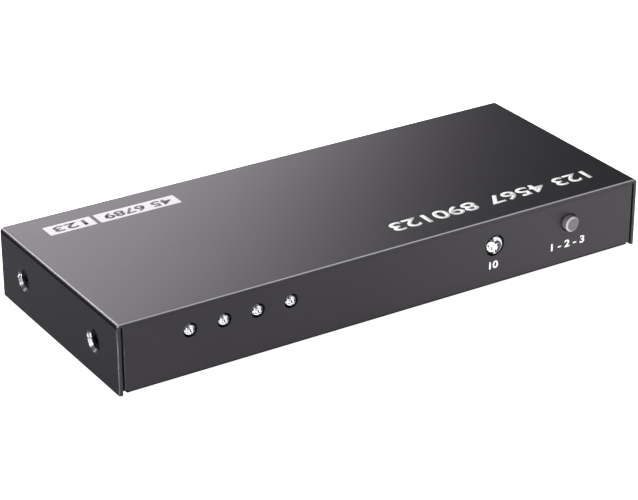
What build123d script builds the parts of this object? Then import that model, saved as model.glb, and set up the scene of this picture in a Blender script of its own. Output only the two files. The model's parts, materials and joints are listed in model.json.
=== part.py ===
from build123d import *
import math
import os

# A three-way video switch box: a folded sheet steel case in two halves, the board that it
# holds, four video sockets and a power jack at the rear, and four lamps, an infrared eye and
# a push button at the front.
# Lengths are in millimetres. X runs to the right along the front panel, Y runs from the front
# panel to the socket panel, and Z runs up from the soles of the feet. The origin is at the
# middle of the floor under the whole box, button and sockets included.

os.makedirs("parts", exist_ok=True)

# Case
width = 155.0
depth = 63.0
body_height = 19.0
sheet = 1.0
bend_inner_radius = 0.15
edge_bevel = 0.25
panel_edge_round = 0.15
cover_side_gap = 0.6
flange_gap = 0.2
flange_top_gap = 2.0
panel_top_gap = 0.05
relief_width = 0.8
overrun = 1.0

# Flat sides that stand for a circle, on forms that show and on small or hidden ones
shown_sides = 28
lamp_sides = 20
hidden_sides = 16
dome_steps = 4

# Feet
foot_diameter = 8.0
foot_height = 1.5
foot_taper = 0.4
foot_inset_x = 12.0
foot_inset_y = 15.0

# Countersunk screws that hold the cover, and the dimples that they sit in
dimple_diameter = 6.5
dimple_hole_diameter = 3.3
dimple_wall = 0.8
form_gap = 0.15
cover_screw_inset = 12.6
cover_screw_diameter = 3.0
cover_screw_length = 6.0
cover_screw_head_diameter = 5.0
seat_gap = 0.03
thread_gap = 0.02
collar_length = 1.6
collar_wall = 0.7
cross_width = 0.75
cross_span = 2.6
cross_depth = 1.1

# Board, its standoffs and its screws
board_thickness = 1.6
board_side_gap = 1.2
board_front_gap = 1.0
board_rear_gap = 0.5
board_corner_cut = 1.5
board_screw_inset = 5.0
board_screw_diameter = 3.0
board_screw_grip_share = 0.65
board_screw_head_diameter = 5.5
board_screw_head_height = 2.0
board_screw_head_taper = 0.6
board_hole_gap = 0.2
standoff_across_flats = 5.0
standoff_bore_share = 0.85
press_gap = 0.02

# Indicator lamps
lamp_diameter = 3.0
lamp_dome_rise = 1.0
lamp_barrel_length = 3.8
lamp_proud = 0.9
lamp_hole_diameter = 3.8
lamp_rise = 3.4
lamp_first_from_left = 19.5
lamp_pitch = 9.4
lamp_count = 4

# Square wire legs of the lamps, the infrared receiver and the tactile switch
leg_size = 0.5
leg_pitch = 2.54
leg_tail = 1.2
leg_hole_gap = 0.12
lamp_leg_run = 1.6
receiver_leg_run = 1.2

# Infrared eye
eye_hole_diameter = 5.9
eye_from_right = 46.2
eye_rise = 2.6
eye_diameter = 4.9
eye_shoulder_recess = 0.1
eye_dome_rise = 1.3
eye_flange_diameter = 7.2
eye_flange_thickness = 0.8
receiver_width = 7.0
receiver_height = 5.5
receiver_depth = 3.2
receiver_lens_radius = 2.2
receiver_lens_tip_radius = 1.2
receiver_lens_length = 1.8
receiver_gap = 0.3

# Push button and its cap
button_from_right = 22.3
button_rise = 3.05
button_travel = 0.3
button_hole_diameter = 4.9
cap_diameter = 4.2
cap_proud = 1.8
cap_chamfer = 0.4
cap_flange_diameter = 6.0
cap_flange_thickness = 0.8
cap_flange_gap = 0.4
cap_socket_depth = 2.6
cap_travel_spare = 0.5

# Tactile switch behind the button
switch_body_size = 6.0
switch_floor_thickness = 1.4
switch_body_chamfer = 0.5
switch_plate_thickness = 0.3
switch_plate_lip = 0.1
switch_ear_width = 1.2
switch_well_diameter = 4.6
stem_diameter = 3.0
stem_fit_gap = 0.05
stem_flange_diameter = 4.4
stem_flange_thickness = 0.6
stop_gap = 0.02
snap_dome_diameter = 4.0
snap_dome_top_diameter = 2.0
snap_dome_pressed_rise = 0.2
snap_dome_thickness = 0.08
switch_leg_spread = 4.5

# Video sockets
socket_count = 4
socket_width = 14.0
socket_height = 4.6
socket_corner_width = 1.8
socket_corner_height = 1.9
socket_corner_cut = 0.4
socket_length = 11.6
socket_proud = 0.4
socket_sheet = 0.3
socket_lip = 0.45
socket_lip_depth = 0.7
socket_panel_gap = 0.25
last_socket_from_left = 35.0
output_from_right = 43.5
tongue_width = 10.8
tongue_thickness = 1.1
tongue_height = 2.45
tongue_setback = 1.6
tongue_chamfer = 0.25
tongue_block_depth = 3.4
block_gap = 0.05
contact_pitch = 1.0
contact_width = 0.34
contact_thickness = 0.16
contact_setback = 0.5
contact_slot_gap = 0.02
contact_tail_run = 0.6
upper_contact_count = 10
lower_contact_count = 9
finger_width = 1.5
finger_length = 5.6
finger_slot = 0.35
finger_mouth_gap = 1.6
finger_dip = 0.5
finger_curl = 0.25
finger_knee = 1.2
finger_spread = 6.6
tab_width = 1.3
tab_tail = 1.4
tab_inset = 2.2

# Power jack
jack_from_right = 22.0
jack_width = 9.0
jack_height = 8.4
jack_depth = 12.6
jack_top_gap = 0.7
jack_nose_diameter = 7.6
jack_nose_recess = 0.1
jack_panel_gap = 0.1
jack_hole_gap = 0.2
jack_bore_diameter = 6.2
jack_bore_depth = 9.6
jack_mouth_chamfer = 0.35
jack_pin_diameter = 2.0
jack_pin_setback = 0.9
jack_pin_tip_chamfer = 0.5
jack_plate_width = 3.0
jack_plate_thickness = 0.4
jack_leaf_thickness = 0.25
jack_leaf_width = 2.2
jack_leaf_bow = 0.5
jack_leaf_slot = 0.4
jack_leaf_setback = 2.6

# Parts on the board; a place is a share of half the board, from its middle
switch_chip_size = 10.0
switch_chip_thickness = 0.9
switch_chip_place_shares = (0.02, -0.05)
chip_bevel = 0.15
controller_length = 4.9
controller_width = 3.9
controller_thickness = 1.45
controller_lift = 0.15
controller_leg_count = 4
controller_leg_pitch = 1.27
controller_leg_width = 0.42
controller_leg_thickness = 0.2
controller_leg_reach = 1.05
controller_leg_foot = 0.5
controller_place_shares = (0.42, -0.38)
regulator_width = 6.5
regulator_depth = 3.5
regulator_height = 1.6
regulator_lift = 0.1
regulator_tab_width = 3.0
regulator_leg_width = 0.7
regulator_leg_pitch = 2.3
regulator_leg_reach = 1.6
regulator_place_shares = (0.62, 0.02)
inductor_size = 6.0
inductor_height = 3.0
inductor_corner_cut = 1.0
inductor_core_diameter = 4.6
inductor_core_depth = 0.3
inductor_place_shares = (0.46, 0.05)
can_diameter = 6.3
can_height = 5.4
can_base_size = 6.6
can_base_height = 0.8
can_base_chamfer = 1.0
can_top_chamfer = 0.4
can_places_shares = ((0.82, 0.12), (0.82, -0.28))
crystal_length = 11.0
crystal_width = 4.6
crystal_height = 3.4
crystal_place_shares = (0.02, -0.56)
chip_capacitor_length = 2.0
chip_capacitor_width = 1.25
chip_capacitor_height = 0.9
chip_capacitor_places_shares = (
    (-0.09, 0.22), (-0.04, 0.22), (0.08, 0.22), (0.13, 0.22), (-0.14, -0.05), (-0.14, -0.3),
    (0.18, -0.05), (0.18, -0.3), (-0.34, -0.05), (-0.46, -0.05), (-0.58, -0.05), (0.3, -0.1),
)

# Places worked out from the sizes above
front_y = (cap_proud - socket_proud - depth) / 2
rear_y = front_y + depth
base_z = foot_height
top_z = base_z + body_height
floor_z = base_z + sheet
ceiling_z = top_z - sheet
right_x = width / 2
left_x = -width / 2
panel_inner_y = front_y + sheet
rear_inner_y = rear_y - sheet
bend_outer_radius = bend_inner_radius + sheet
panel_half_width = width / 2 - sheet - cover_side_gap
flange_half_width = width / 2 - sheet - flange_gap

board_top_z = ceiling_z - jack_top_gap - jack_height
board_bottom_z = board_top_z - board_thickness
board_front_y = panel_inner_y + board_front_gap
board_rear_y = rear_inner_y - board_rear_gap
board_half_depth = (board_rear_y - board_front_y) / 2
board_middle_y = (board_rear_y + board_front_y) / 2

dimple_radius = dimple_diameter / 2
dimple_hole_radius = dimple_hole_diameter / 2
dimple_slant_wall = dimple_wall * math.sqrt(2)
dimple_depth = dimple_radius - dimple_hole_radius
dimple_bottom = dimple_depth + dimple_wall
cover_screw_head_depth = dimple_radius - cover_screw_head_diameter / 2 - seat_gap
cover_screw_point_depth = cover_screw_head_depth + cover_screw_length
cover_screw_z = base_z + body_height / 2
cover_screw_ys = (front_y + cover_screw_inset, rear_y - cover_screw_inset)
board_half_width = width / 2 - cover_screw_point_depth - board_side_gap

standoff_height = board_bottom_z - floor_z
board_screw_length = board_thickness + board_screw_grip_share * standoff_height
board_screw_places = [
    (side * (board_half_width - board_screw_inset), y)
    for side in (-1, 1)
    for y in (board_front_y + board_screw_inset, board_rear_y - board_screw_inset)
]

lamp_z = board_top_z + lamp_rise
lamp_xs = [left_x + lamp_first_from_left + n * lamp_pitch for n in range(lamp_count)]
lamp_names = ["power_lamp"] + [f"input_{n}_lamp" for n in range(1, lamp_count)]
lamp_radius = lamp_diameter / 2
lamp_tip_y = front_y - lamp_proud
lamp_base_y = lamp_tip_y + lamp_dome_rise + lamp_barrel_length

eye_x = right_x - eye_from_right
eye_z = board_top_z + eye_rise
eye_back_y = panel_inner_y + eye_flange_thickness
receiver_front_y = eye_back_y + receiver_gap
receiver_back_y = receiver_front_y + receiver_lens_length + receiver_depth

button_x = right_x - button_from_right
button_z = board_top_z + button_rise
cap_front_y = front_y - cap_proud
cap_flange_y = panel_inner_y + cap_flange_gap
cap_back_y = cap_flange_y + cap_flange_thickness
switch_front_y = cap_back_y + button_travel + cap_travel_spare
switch_body_y = switch_front_y + switch_plate_thickness
snap_dome_rise = snap_dome_pressed_rise + button_travel
stem_end_y = switch_body_y + stop_gap + stem_flange_thickness
switch_well_floor_y = stem_end_y + stop_gap + snap_dome_thickness + snap_dome_rise
switch_back_y = switch_well_floor_y + switch_floor_thickness

socket_mouth_y = rear_y + socket_proud
socket_back_y = socket_mouth_y - socket_length
socket_floor_z = board_top_z + socket_sheet
socket_half_width = socket_width / 2
tongue_z = socket_floor_z + tongue_height
tongue_tip_y = socket_mouth_y - tongue_setback
socket_names = ["video_output"] + [f"video_input_{n}" for n in range(1, socket_count)]
socket_pitch = (width - output_from_right - last_socket_from_left) / (socket_count - 1)
socket_xs = [right_x - output_from_right - n * socket_pitch for n in range(socket_count)]

jack_x = right_x - jack_from_right
jack_z = board_top_z + jack_height / 2
jack_face_y = rear_inner_y - jack_panel_gap
jack_back_y = jack_face_y - jack_depth
jack_nose_y = rear_y - jack_nose_recess
jack_bore_floor_y = jack_nose_y - jack_bore_depth


def block(x_from, x_to, y_from, y_to, z_from, z_to):
    """A box between two corners."""
    corner = (Align.MIN, Align.MIN, Align.MIN)
    return Pos(x_from, y_from, z_from) * Box(x_to - x_from, y_to - y_from, z_to - z_from, align=corner)


def turned(sides, *points):
    """A turned form along Z from its (radius, height) outline, with flat sides for circles.

    The corners lie on the true circles, and two forms with as many sides nest as round ones do.
    """
    turns = [2 * math.pi * n / sides for n in range(sides)]
    faces = []
    for start, end in zip(points, points[1:] + points[:1]):
        for here, there in zip(turns, turns[1:] + turns[:1]):
            corners = []
            for (radius, z), turn in ((start, here), (start, there), (end, there), (end, here)):
                corner = (radius * math.cos(turn), radius * math.sin(turn), z)
                if radius or corner not in corners:
                    corners.append(corner)
            if len(corners) > 2:
                faces.append(Face(Wire.make_polygon([Vector(*corner) for corner in corners])))
    return Solid(Shell(faces)).clean()


def facing_front(shape, x, y, z):
    """Lay a turned solid along -Y, with its zero height at y."""
    return Pos(x, y, z) * Rot(90, 0, 0) * shape


def facing_rear(shape, x, y, z):
    """Lay a turned solid along +Y, with its zero height at y."""
    return Pos(x, y, z) * Rot(-90, 0, 0) * shape


def bar(sides, diameter, length):
    """A round bar along Z."""
    return turned(sides, (0, 0), (diameter / 2, 0), (diameter / 2, length), (0, length))


def bar_y(sides, x, z, y_from, y_to, diameter):
    """A round bar along Y."""
    return facing_rear(bar(sides, diameter, y_to - y_from), x, y_from, z)


def bar_z(sides, x, y, z_from, z_to, diameter):
    """A round bar along Z, at a place."""
    return Pos(x, y, z_from) * bar(sides, diameter, z_to - z_from)


def cross_recess():
    """The cross-shaped driver recess of a screw, cut down from zero height."""
    bars = Rectangle(cross_span, cross_width) + Rectangle(cross_width, cross_span)
    return extrude(bars, amount=-cross_depth)


def upright_channel(plane, half_width, low_z, high_z, half_length):
    """A floor with two walls folded up from it, open at the top, both bends rounded."""
    outer = Pos(0, (low_z + high_z) / 2) * Rectangle(2 * half_width, high_z - low_z)
    outer = fillet(outer.vertices().group_by(Axis.Y)[0], bend_outer_radius)
    inner_low = low_z + sheet
    inner_high = high_z + overrun
    inner_width = 2 * (half_width - sheet)
    inner = Pos(0, (inner_low + inner_high) / 2) * Rectangle(inner_width, inner_high - inner_low)
    inner = fillet(inner.vertices().group_by(Axis.Y)[0], bend_inner_radius)
    return extrude(plane * (outer - inner), amount=half_length, both=True)


def on_both_ends(shape_at):
    """The same shape at each cover screw: built for the left end, mirrored for the right."""
    left = [Pos(left_x, y, cover_screw_z) * Rot(0, 90, 0) * shape_at for y in cover_screw_ys]
    return left + [mirror(shape, Plane.YZ) for shape in left]


# Cover


def cover_dimple():
    """A countersunk dimple drawn inwards; height counts from the wall's outer face."""
    outer = dimple_radius - sheet + dimple_slant_wall
    return turned(
        shown_sides,
        (outer, 0),
        (dimple_radius, 0),
        (dimple_hole_radius, dimple_depth),
        (dimple_hole_radius, dimple_bottom),
        (dimple_radius + dimple_slant_wall - dimple_bottom, dimple_bottom),
        (outer, sheet),
    )


def top_cover():
    """Top and both end walls, folded from one sheet, with a dimple for each screw."""
    middle_y = (front_y + rear_y) / 2
    outer = Pos(0, (base_z + top_z) / 2) * Rectangle(width, body_height)
    outer = fillet(outer.vertices().group_by(Axis.Y)[-1], bend_outer_radius)
    solid_height = ceiling_z - base_z + overrun
    inner = Pos(0, ceiling_z - solid_height / 2) * Rectangle(width - 2 * sheet, solid_height)
    inner = fillet(inner.vertices().group_by(Axis.Y)[-1], bend_inner_radius)
    plane = Plane.XZ.offset(-middle_y)
    block_shape = extrude(plane * outer, amount=depth / 2, both=True)
    ends = block_shape.faces().filter_by(Axis.Y)
    rims = [edge for face in ends for edge in face.edges() if edge.center().Z > base_z + edge_bevel]
    block_shape = chamfer(rims, edge_bevel)
    cover = block_shape - extrude(plane * inner, amount=depth, both=True)
    hole = turned(
        shown_sides,
        (0, -overrun),
        (dimple_radius - sheet + dimple_slant_wall, -overrun),
        (dimple_radius - sheet + dimple_slant_wall, sheet + overrun),
        (0, sheet + overrun),
    )
    cover -= on_both_ends(hole)
    return cover + on_both_ends(cover_dimple())


def cover_screw():
    """One countersunk screw; height counts inwards from the wall's outer face."""
    radius = cover_screw_head_diameter / 2
    shank = cover_screw_diameter / 2
    neck = cover_screw_head_depth + radius - shank
    head = turned(
        shown_sides, (0, cover_screw_head_depth), (radius, cover_screw_head_depth), (shank, neck), (0, neck)
    )
    body = head + bar_z(hidden_sides, 0, 0, neck, cover_screw_point_depth, cover_screw_diameter)
    recess = Pos(0, 0, cover_screw_head_depth) * Rot(180, 0, 0) * cross_recess()
    return body - recess


# Base tray


def tray_collar_start():
    """Where the mouth of a collar's cone meets the flange's outer face, as a radius."""
    return dimple_radius + dimple_slant_wall + form_gap * math.sqrt(2) - sheet - flange_gap


def tray_collar():
    """The tapped collar of an end flange, drawn to follow the cover's dimple."""
    face = sheet + flange_gap
    start = tray_collar_start()
    bore = cover_screw_diameter / 2 + thread_gap
    neck = face + start - bore
    end = neck + collar_length
    return turned(
        hidden_sides,
        (start + collar_wall, face),
        (start, face),
        (bore, neck),
        (bore, end),
        (bore + collar_wall, end),
        (start + collar_wall, face + sheet),
    )


def tray_collar_hole():
    """What clears the flange for a collar."""
    face = sheet + flange_gap
    radius = tray_collar_start() + collar_wall
    start = face - flange_gap / 2
    end = face + sheet + flange_gap
    return turned(hidden_sides, (0, start), (radius, start), (radius, end), (0, end))


def front_hole(x, z, diameter):
    """A round hole through the front panel."""
    return bar_y(shown_sides, x, z, front_y - overrun, panel_inner_y + overrun, diameter)


def socket_face(grow):
    """The opening of a video socket, wide side up, with X across and Y up from its floor."""
    half = socket_half_width
    face = make_face(
        Polyline(
            (socket_corner_cut - half, socket_height),
            (-half, socket_height - socket_corner_cut),
            (-half, socket_corner_height),
            (socket_corner_width - half, 0),
            (half - socket_corner_width, 0),
            (half, socket_corner_height),
            (half, socket_height - socket_corner_cut),
            (half - socket_corner_cut, socket_height),
            close=True,
        )
    )
    if grow:
        face = offset(face, amount=grow, kind=Kind.INTERSECTION)
    return face


def socket_prism(grow, y_from, y_to):
    """A bar with the socket's outline, between two places along Y."""
    face = Pos(0, y_from, socket_floor_z) * (Plane.XZ * socket_face(grow))
    return extrude(face, amount=y_to - y_from, dir=(0, 1, 0))


def base_tray():
    """Floor, front panel, rear panel and two tapped end flanges, folded from one sheet."""
    middle_y = (front_y + rear_y) / 2
    panel_top_z = ceiling_z - panel_top_gap
    across = Plane.YZ * Pos(middle_y, 0)
    tray = upright_channel(across, depth / 2, base_z, panel_top_z, panel_half_width)
    corner = bend_outer_radius + relief_width
    flange_length = depth - 2 * corner
    flange_top_z = ceiling_z - flange_top_gap
    along = Plane.XZ.offset(-middle_y)
    tray += upright_channel(along, flange_half_width, base_z, flange_top_z, flange_length / 2)
    room_x = flange_half_width - sheet
    tray -= block(
        -room_x + bend_inner_radius, room_x - bend_inner_radius,
        front_y + corner, rear_y - corner, floor_z, panel_top_z + overrun,
    )
    for side in (-1, 1):
        for edge_y, inwards in ((front_y, 1), (rear_y, -1)):
            x_reach = sorted((side * (panel_half_width - relief_width), side * (width / 2)))
            y_reach = sorted((edge_y - inwards * overrun, edge_y + inwards * corner))
            tray -= block(*x_reach, *y_reach, base_z - overrun, floor_z + bend_inner_radius)
    ends = tray.edges().filter_by(Axis.Z).group_by(Axis.Y)
    tray = fillet(ends[0] + ends[-1], panel_edge_round)
    tray -= on_both_ends(tray_collar_hole())
    tray += on_both_ends(tray_collar())
    for x in lamp_xs:
        tray -= front_hole(x, lamp_z, lamp_hole_diameter)
    tray -= front_hole(eye_x, eye_z, eye_hole_diameter)
    tray -= front_hole(button_x, button_z, button_hole_diameter)
    socket_window = socket_prism(
        socket_sheet + socket_lip + socket_panel_gap, rear_inner_y - overrun, rear_y + overrun
    )
    for x in socket_xs:
        tray -= Pos(x, 0, 0) * socket_window
    jack_hole = jack_nose_diameter + 2 * jack_hole_gap
    tray -= bar_y(shown_sides, jack_x, jack_z, rear_inner_y - overrun, rear_y + overrun, jack_hole)
    return tray


def rubber_foot():
    """One round stick-on foot, hanging from zero height and narrowing to its sole."""
    radius = foot_diameter / 2
    sole = radius - foot_taper
    return turned(shown_sides, (0, 0), (radius, 0), (sole, -foot_height), (0, -foot_height))


def board_standoff():
    """One hexagonal pillar, tapped from its top, standing at zero height."""
    hexagon = RegularPolygon(standoff_across_flats / 2, 6, major_radius=False)
    pillar = extrude(hexagon, amount=standoff_height)
    bore_depth = standoff_bore_share * standoff_height
    bore = board_screw_diameter + 2 * thread_gap
    bottom = standoff_height - bore_depth
    return pillar - bar_z(hidden_sides, 0, 0, bottom, standoff_height + overrun, bore)


def board_screw():
    """One pan-head screw, its head's underside at zero height."""
    head = board_screw_head_diameter / 2
    shank = board_screw_diameter / 2
    top = board_screw_head_height
    return turned(
        hidden_sides,
        (0, top),
        (0, -board_screw_length),
        (shank, -board_screw_length),
        (shank, 0),
        (head, 0),
        (head - board_screw_head_taper, top),
    )


# Board


def leg_reach(x, y):
    """The (x, x, y, y) reach of one square wire leg."""
    half = leg_size / 2
    return (x - half, x + half, y - half, y + half)


def bent_leg(x, z, y_from, run):
    """A square wire leg that runs back from a part and turns down through the board."""
    half = leg_size / 2
    turn_y = y_from + run
    back = block(x - half, x + half, y_from, turn_y + half, z - half, z + half)
    down = block(x - half, x + half, turn_y - half, turn_y + half, board_bottom_z - leg_tail, z + half)
    return back + down


def lamp_leg_places():
    """Where each lamp's two legs pass the board."""
    y = lamp_base_y + lamp_leg_run
    return [(x + side * leg_pitch / 2, y) for x in lamp_xs for side in (-1, 1)]


def receiver_leg_places():
    """Where the three legs of the infrared receiver pass the board."""
    y = receiver_back_y + receiver_leg_run
    return [(eye_x + n * leg_pitch, y) for n in (-1, 0, 1)]


def switch_leg_places():
    """Where the two contact legs of the tactile switch pass the board."""
    y = switch_back_y + leg_size / 2
    return [(button_x + side * switch_leg_spread / 2, y) for side in (-1, 1)]


def slot_hole(x_from, x_to, y_from, y_to):
    """A rectangular hole through the board round a flat tab, with clearance."""
    gap = leg_hole_gap
    return block(
        x_from - gap, x_to + gap, y_from - gap, y_to + gap, board_bottom_z - overrun, board_top_z + overrun
    )


def socket_tab_boxes():
    """The four fixing tabs of a video socket, as (x, x, y, y) reaches."""
    outer = socket_half_width + socket_sheet
    reaches = []
    for side in (-1, 1):
        xs = sorted((side * socket_half_width, side * outer))
        for y in (socket_back_y + tab_inset, board_rear_y - tab_inset - tab_width):
            reaches.append((*xs, y, y + tab_width))
    return reaches


def switch_ear_reaches():
    """The two side ears of the tactile switch's plate, as (x, x, y, y) reaches."""
    half = switch_body_size / 2
    reaches = []
    for side in (-1, 1):
        xs = sorted((side * half, side * (half + switch_plate_thickness)))
        ys = (switch_front_y, switch_front_y + switch_ear_width)
        reaches.append((button_x + xs[0], button_x + xs[1], *ys))
    return reaches


def jack_tab_reaches():
    """The pin plate's tab and the leaf's tab of the power jack, as (x, x, y, y) reaches."""
    half_plate = jack_plate_width / 2
    leaf_x = jack_x - jack_width / 2
    return [
        (jack_x - half_plate, jack_x + half_plate, jack_back_y - jack_plate_thickness, jack_back_y),
        (leaf_x - jack_leaf_thickness, leaf_x, jack_back_y, jack_back_y + jack_leaf_width),
    ]


def circuit_board():
    """The board, with a hole for every screw, leg and tab."""
    outline = chamfer(Rectangle(2 * board_half_width, 2 * board_half_depth).vertices(), board_corner_cut)
    board = Pos(0, board_middle_y, board_bottom_z) * extrude(outline, amount=board_thickness)
    screw_hole = board_screw_diameter + 2 * board_hole_gap
    cutters = [
        bar_z(hidden_sides, x, y, board_bottom_z - overrun, board_top_z + overrun, screw_hole)
        for x, y in board_screw_places
    ]
    legs = lamp_leg_places() + receiver_leg_places() + switch_leg_places()
    reaches = [leg_reach(x, y) for x, y in legs] + switch_ear_reaches() + jack_tab_reaches()
    cutters += [slot_hole(*reach) for reach in reaches]
    for x in socket_xs:
        cutters += [Pos(x, 0, 0) * slot_hole(*reach) for reach in socket_tab_boxes()]
    return board - cutters


def on_board(shares):
    """A place on the board from shares of its half width and half depth."""
    return Pos(shares[0] * board_half_width, board_middle_y + shares[1] * board_half_depth, board_top_z)


def flat_chip(length, breadth, thickness):
    """A moulded chip body with a bevelled top edge, from zero height."""
    body = extrude(Rectangle(length, breadth), amount=thickness)
    return chamfer(body.faces().sort_by(Axis.Z)[-1].edges(), chip_bevel)


def gull_leg(reach, leg_width, drop, foot):
    """A flat leg that leaves a chip along +X at height drop, and steps down to a foot."""
    thick = controller_leg_thickness
    turn = reach - foot
    outline = Polyline(
        (0, drop),
        (turn, drop),
        (turn, thick),
        (reach, thick),
        (reach, 0),
        (turn - thick, 0),
        (turn - thick, drop - thick),
        (0, drop - thick),
        close=True,
    )
    return extrude(Plane.XZ * make_face(outline), amount=leg_width / 2, both=True)


def microcontroller():
    """The small control chip, held just clear of the board by its legs."""
    body = flat_chip(controller_length, controller_width, controller_thickness)
    return on_board(controller_place_shares) * Pos(0, 0, controller_lift) * body


def microcontroller_legs():
    """The stepped legs along both long sides of the control chip."""
    drop = controller_lift + controller_thickness / 2
    leg = gull_leg(controller_leg_reach, controller_leg_width, drop, controller_leg_foot)
    legs = []
    first = -(controller_leg_count - 1) / 2 * controller_leg_pitch
    for n in range(controller_leg_count):
        x = first + n * controller_leg_pitch
        for turn in (90, -90):
            edge = math.copysign(controller_width / 2, turn)
            legs.append(on_board(controller_place_shares) * Pos(x, edge, 0) * Rot(0, 0, turn) * leg)
    return legs


def voltage_regulator():
    """The regulator's moulded body."""
    body = flat_chip(regulator_width, regulator_depth, regulator_height)
    return on_board(regulator_place_shares) * Pos(0, 0, regulator_lift) * body


def voltage_regulator_legs():
    """Three legs on one side of the regulator and the wide tab on the other."""
    drop = regulator_lift + regulator_height / 2
    foot = regulator_leg_reach / 2
    place = on_board(regulator_place_shares)
    edge = regulator_depth / 2
    leg = gull_leg(regulator_leg_reach, regulator_leg_width, drop, foot)
    tab = gull_leg(regulator_leg_reach, regulator_tab_width, drop, foot)
    legs = [place * Pos(n * regulator_leg_pitch, -edge, 0) * Rot(0, 0, -90) * leg for n in (-1, 0, 1)]
    return legs + [place * Pos(0, edge, 0) * Rot(0, 0, 90) * tab]


def power_inductor():
    """A square shielded coil with cut corners and a round core set in its top."""
    outline = chamfer(Rectangle(inductor_size, inductor_size).vertices(), inductor_corner_cut)
    body = extrude(outline, amount=inductor_height)
    core_z = inductor_height - inductor_core_depth
    core = bar_z(hidden_sides, 0, 0, core_z, inductor_height + overrun, inductor_core_diameter)
    return on_board(inductor_place_shares) * (body - core)


def electrolytic_can():
    """A round aluminium can on a moulded base with two cut corners."""
    base = Rectangle(can_base_size, can_base_size)
    base = chamfer(base.vertices().group_by(Axis.X)[-1], can_base_chamfer)
    radius = can_diameter / 2
    top = can_base_height + can_height
    can = turned(
        hidden_sides,
        (0, top),
        (0, can_base_height),
        (radius, can_base_height),
        (radius, top - can_top_chamfer),
        (radius - can_top_chamfer, top),
    )
    return extrude(base, amount=can_base_height) + can


def crystal():
    """A flat-sided metal can with round ends."""
    can = extrude(SlotOverall(crystal_length, crystal_width), amount=crystal_height)
    return on_board(crystal_place_shares) * can


def chip_capacitor(shares):
    """One small ceramic capacitor, lying along X."""
    place = on_board(shares)
    return place * block(
        -chip_capacitor_length / 2, chip_capacitor_length / 2,
        -chip_capacitor_width / 2, chip_capacitor_width / 2, 0, chip_capacitor_height,
    )


# Lamps and infrared eye


def lamp(x):
    """One clear indicator lamp: a barrel and a domed tip, pointing out of the panel."""
    dome = dome_points(lamp_radius, lamp_barrel_length, lamp_dome_rise)
    body = turned(lamp_sides, (0, 0), (lamp_radius, 0), *dome)
    return facing_front(body, x, lamp_base_y, lamp_z)


def dome_points(radius, base, rise):
    """Points of a shallow dome, from its rim at the given radius up to the axis."""
    sphere = (radius**2 + rise**2) / (2 * rise)
    centre = base + rise - sphere
    half_angle = math.asin(radius / sphere)
    angles = [half_angle * (1 - n / dome_steps) for n in range(dome_steps)]
    points = [(sphere * math.sin(angle), centre + sphere * math.cos(angle)) for angle in angles]
    return points + [(0, base + rise)]


def infrared_eye():
    """The clear window: a flange behind the panel, a barrel in the hole and a domed front."""
    flange = eye_flange_diameter / 2
    barrel = eye_diameter / 2
    shoulder = eye_flange_thickness + sheet - eye_shoulder_recess
    body = turned(
        shown_sides,
        (0, 0),
        (flange, 0),
        (flange, eye_flange_thickness),
        (barrel, eye_flange_thickness),
        *dome_points(barrel, shoulder, eye_dome_rise),
    )
    return facing_front(body, eye_x, eye_back_y, eye_z)


def infrared_receiver():
    """The receiver: a moulded block whose front swells into a round lens."""
    half = receiver_width / 2
    bulk_y = receiver_back_y - receiver_depth
    low_z = board_top_z + receiver_gap
    bulk = block(eye_x - half, eye_x + half, bulk_y, receiver_back_y, low_z, low_z + receiver_height)
    lens = turned(
        hidden_sides,
        (0, 0),
        (receiver_lens_radius, 0),
        (receiver_lens_tip_radius, receiver_lens_length),
        (0, receiver_lens_length),
    )
    return bulk + facing_front(lens, eye_x, bulk_y, eye_z)


# Push button and tactile switch


def button_cap():
    """The round cap, with a bevelled face, a flange behind the panel and a socket for the stem."""
    radius = cap_diameter / 2
    flange = cap_flange_diameter / 2
    length = cap_back_y - cap_front_y
    cap = turned(
        shown_sides,
        (0, 0),
        (flange, 0),
        (flange, cap_flange_thickness),
        (radius, cap_flange_thickness),
        (radius, length - cap_chamfer),
        (radius - cap_chamfer, length),
        (0, length),
    )
    cap -= bar_z(hidden_sides, 0, 0, -overrun, cap_socket_depth, stem_diameter + 2 * press_gap)
    return facing_front(cap, button_x, cap_back_y, button_z)


def switch_stem():
    """The plunger: a stem into the cap and a flange that the plate holds over the dome."""
    stem = stem_diameter / 2
    flange = stem_flange_diameter / 2
    length = stem_end_y - cap_back_y + cap_socket_depth
    plunger = turned(
        hidden_sides,
        (0, 0),
        (flange, 0),
        (flange, stem_flange_thickness),
        (stem, stem_flange_thickness),
        (stem, length),
        (0, length),
    )
    return facing_front(plunger, button_x, stem_end_y, button_z)


def tact_switch_body():
    """The switch's moulded body, with a round well for the dome and the plunger's flange."""
    half = switch_body_size / 2
    body = block(
        button_x - half, button_x + half, switch_body_y, switch_back_y, button_z - half, button_z + half
    )
    body = chamfer(body.edges().filter_by(Axis.Y), switch_body_chamfer)
    start = switch_body_y - overrun
    well = bar_y(hidden_sides, button_x, button_z, start, switch_well_floor_y, switch_well_diameter)
    return body - well


def tact_switch_plate():
    """The steel plate over the well, with two ears that reach down through the board."""
    half = switch_body_size / 2
    lip = switch_plate_lip
    plate = block(
        button_x - half, button_x + half, switch_front_y, switch_body_y, button_z - half, button_z + half
    )
    for x_from, x_to, y_from, y_to in switch_ear_reaches():
        plate += block(x_from, x_to, y_from, y_to, board_bottom_z - leg_tail, button_z + half - lip)
    hole = stem_diameter + 2 * stem_fit_gap
    start, end = switch_front_y - overrun, switch_body_y + overrun
    return plate - bar_y(hidden_sides, button_x, button_z, start, end, hole)


def tact_switch_dome():
    """The thin snap dome on the floor of the well."""
    radius = snap_dome_diameter / 2
    top_radius = snap_dome_top_diameter / 2
    thick = snap_dome_thickness
    dome = turned(
        hidden_sides,
        (radius, 0),
        (top_radius, snap_dome_rise),
        (0, snap_dome_rise),
        (0, snap_dome_rise + thick),
        (top_radius, snap_dome_rise + thick),
        (radius, thick),
    )
    return facing_front(dome, button_x, switch_well_floor_y, button_z)


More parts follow.
